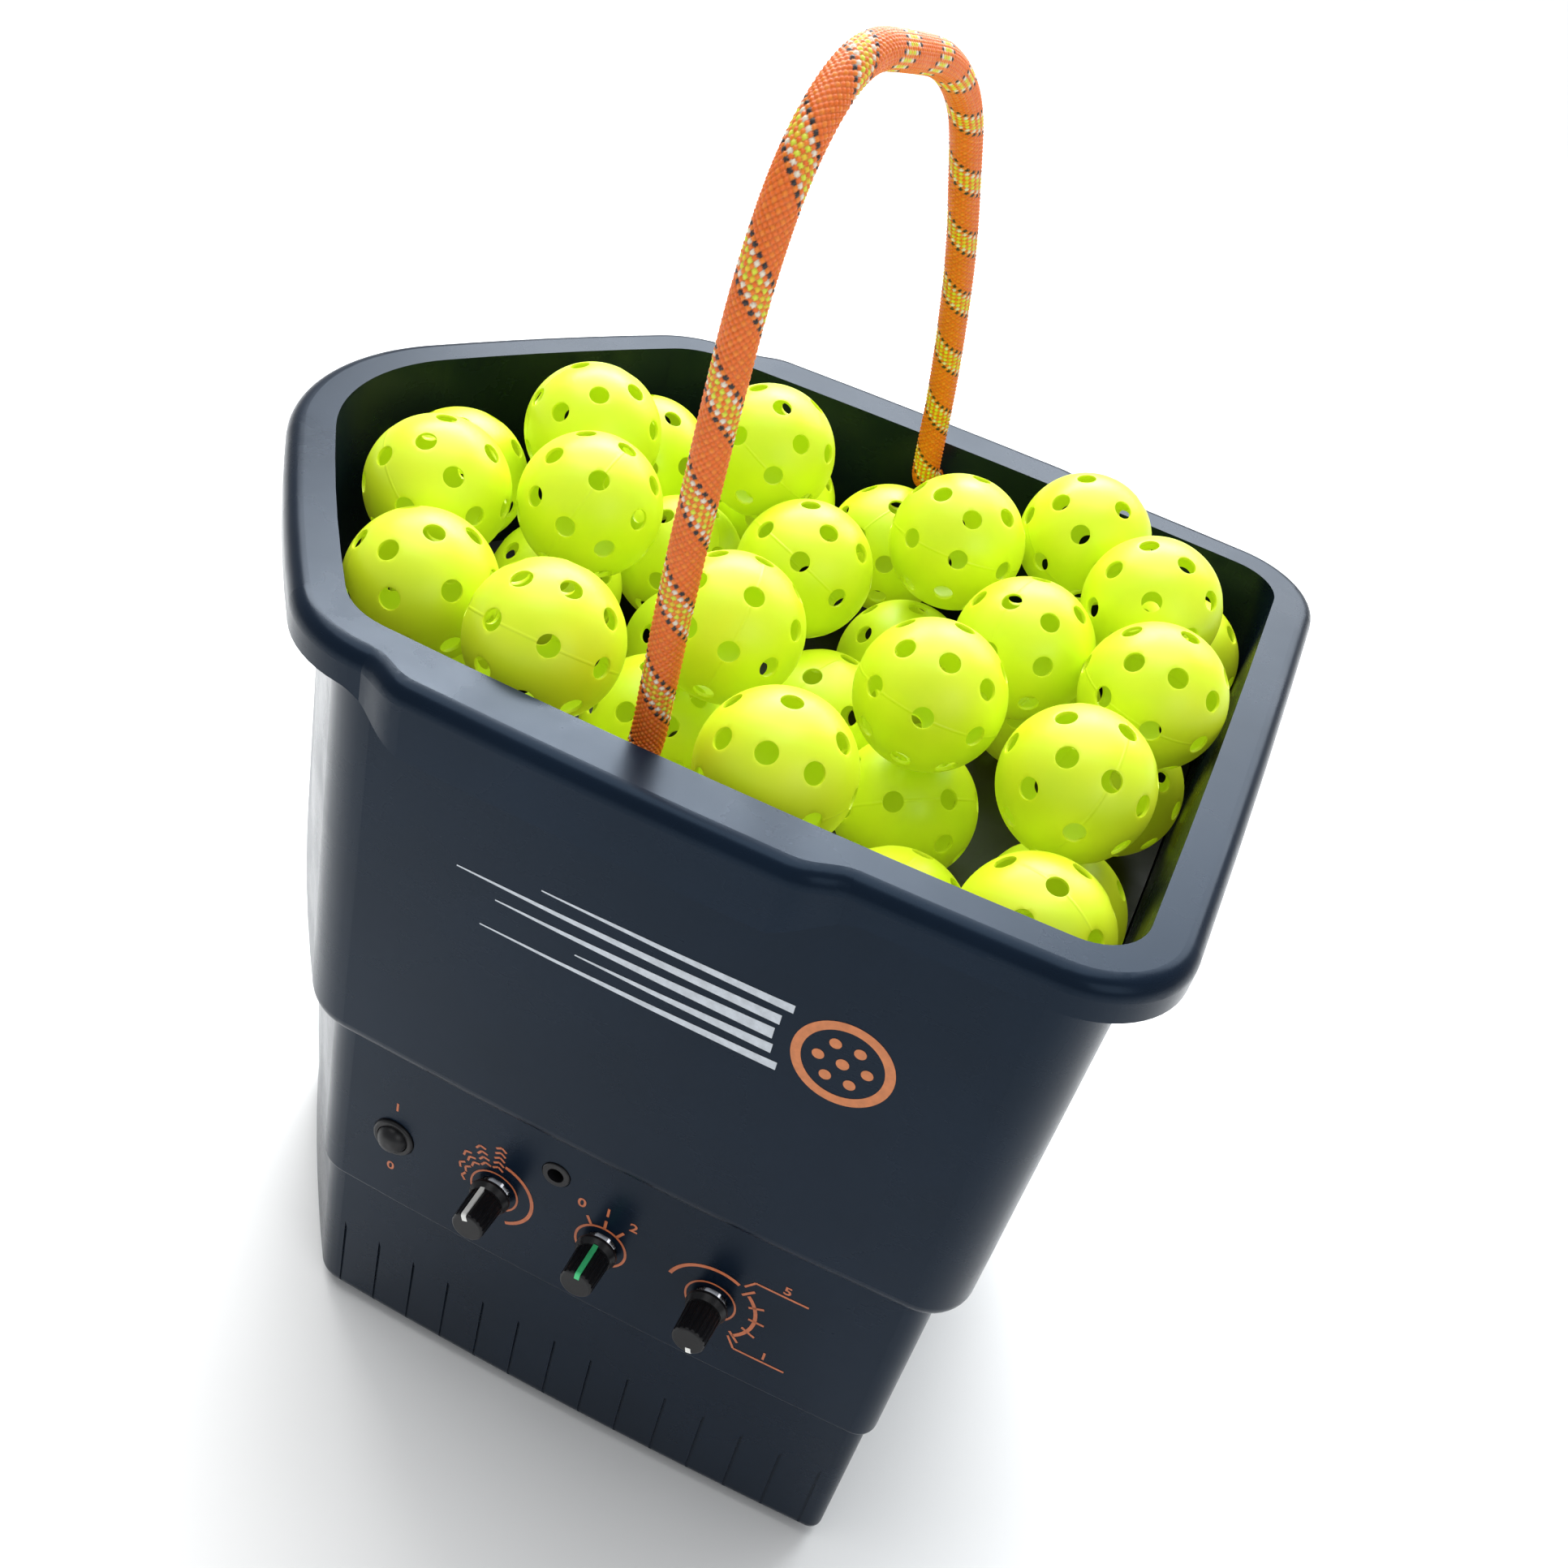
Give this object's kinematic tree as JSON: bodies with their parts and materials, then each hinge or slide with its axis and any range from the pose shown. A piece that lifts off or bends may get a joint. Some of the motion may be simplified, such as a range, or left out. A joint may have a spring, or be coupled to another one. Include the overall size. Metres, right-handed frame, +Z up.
{
  "type": "ball throwing machine",
  "caption": "Bucket-shaped ball throwing machine with a rope handle, a heap of perforated balls, a feed carousel, two launch wheels and a panel of dials, a button and a charging socket.",
  "frame": {"origin": "on the ground under the middle of the bucket's rim", "axes": "+Z up, +X towards the flat end where balls leave, -Y towards the side with the controls"},
  "size_m": [0.5268, 0.4424, 0.788],
  "materials": {
    "navy_plastic": "glossy",
    "dark_plastic": "moulded",
    "black_knob_plastic": "satin",
    "dial_white": "moulded",
    "dial_green": "moulded",
    "black_rubber": "moulded",
    "wheel_rubber": "moulded",
    "zinc_screws": "zinc plated",
    "plate_aluminium": "satin",
    "motor_steel": "satin",
    "shaft_steel": "ground",
    "stem_brass": "turned",
    "control_cans": "plain",
    "nut_chrome": "polished",
    "button_black": "glossy",
    "battery_case": "moulded",
    "strap_webbing": "woven",
    "board_green": "lacquered",
    "ball_yellow": "satin",
    "rope_orange": "braided"
  },
  "bodies": {
    "machine": {"base_housing": "navy_plastic", "battery_pack": "battery_case", "battery_strap": "strap_webbing", "board_posts": "dark_plastic", "button_bezel": "button_black", "button_ring_nut": "dark_plastic", "button_switch": "dark_plastic", "carousel_floor": "dark_plastic", "carousel_housing": "dark_plastic", "charge_jack": "button_black", "chassis_plate": "plate_aluminium", "control_board": "board_green", "deck_posts": "plate_aluminium", "deck_screws": "zinc_screws", "drop_tube": "dark_plastic", "feeder_control": "control_cans", "feeder_gearmotor": "motor_steel", "floor_screws": "zinc_screws", "foot_screws": "zinc_screws", "hopper_bucket": "navy_plastic", "hopper_floor": "dark_plastic", "jack_pin": "stem_brass", "launch_deck": "plate_aluminium", "launch_port": "dark_plastic", "launch_trough": "dark_plastic", "left_launch_motor": "motor_steel", "loose_balls": "ball_yellow", "motor_screws": "zinc_screws", "panel_nuts": "nut_chrome", "panel_washers": "nut_chrome", "port_screws": "zinc_screws", "power_control": "control_cans", "right_launch_motor": "motor_steel", "rubber_feet": "black_rubber", "side_bolts": "zinc_screws", "speed_control": "control_cans"},
    "carousel": {"feed_carousel": "dark_plastic", "carousel_nut": "zinc_screws", "carousel_shaft": "shaft_steel"},
    "left_wheel": {"left_wheel_hub": "plate_aluminium", "left_wheel_tyre": "wheel_rubber", "left_wheel_shaft": "shaft_steel", "left_wheel_nut": "zinc_screws"},
    "right_wheel": {"right_wheel_hub": "plate_aluminium", "right_wheel_tyre": "wheel_rubber", "right_wheel_shaft": "shaft_steel", "right_wheel_nut": "zinc_screws"},
    "feeder_dial": {"feeder_knob": "black_knob_plastic", "feeder_pointer": "dial_white", "feeder_stem": "stem_brass"},
    "power_dial": {"power_knob": "black_knob_plastic", "power_pointer": "dial_green", "power_stem": "stem_brass"},
    "speed_dial": {"speed_knob": "black_knob_plastic", "speed_pointer": "dial_white", "speed_stem": "stem_brass"},
    "button": {"remote_button": "button_black"},
    "handle": {"rope_handle": "rope_orange", "front_rope_knot": "rope_orange", "back_rope_knot": "rope_orange"}
  },
  "joints": [
    {"name": "carousel_spin", "type": "hinge", "parent": "machine", "child": "carousel", "pos_m": [-0.036, 0, 0.33], "axis": [0, 0, 1], "continuous": true},
    {"name": "left_wheel_spin", "type": "hinge", "parent": "machine", "child": "left_wheel", "pos_m": [0.135, 0.083, 0.18], "axis": [0, 0, 1], "continuous": true},
    {"name": "right_wheel_spin", "type": "hinge", "parent": "machine", "child": "right_wheel", "pos_m": [0.135, -0.083, 0.18], "axis": [0, 0, 1], "continuous": true},
    {"name": "feeder_dial_turn", "type": "hinge", "parent": "machine", "child": "feeder_dial", "pos_m": [-0.015, -0.17258, 0.174], "axis": [0, 1, 0], "range_deg": [-130, 170]},
    {"name": "power_dial_turn", "type": "hinge", "parent": "machine", "child": "power_dial", "pos_m": [0.051, -0.17329, 0.174], "axis": [0, 1, 0], "range_deg": [-30, 30]},
    {"name": "speed_dial_turn", "type": "hinge", "parent": "machine", "child": "speed_dial", "pos_m": [0.117, -0.17272, 0.174], "axis": [0, 1, 0], "range_deg": [-300, 0]},
    {"name": "button_press", "type": "slide", "parent": "machine", "child": "button", "axis": [0, 1, 0], "range_m": [0, 0.003], "stiffness_N_per_m": 400, "springref_m": -0.002},
    {"name": "handle_swing", "type": "hinge", "parent": "machine", "child": "handle", "pos_m": [0.012, -0.18793, 0.487], "axis": [0.0425, 0.9991, 0], "range_deg": [-35, 33]}
  ],
  "couplings": [
    {"joint": "right_wheel_spin", "follows": "left_wheel_spin", "ratio": -1}
  ]
}
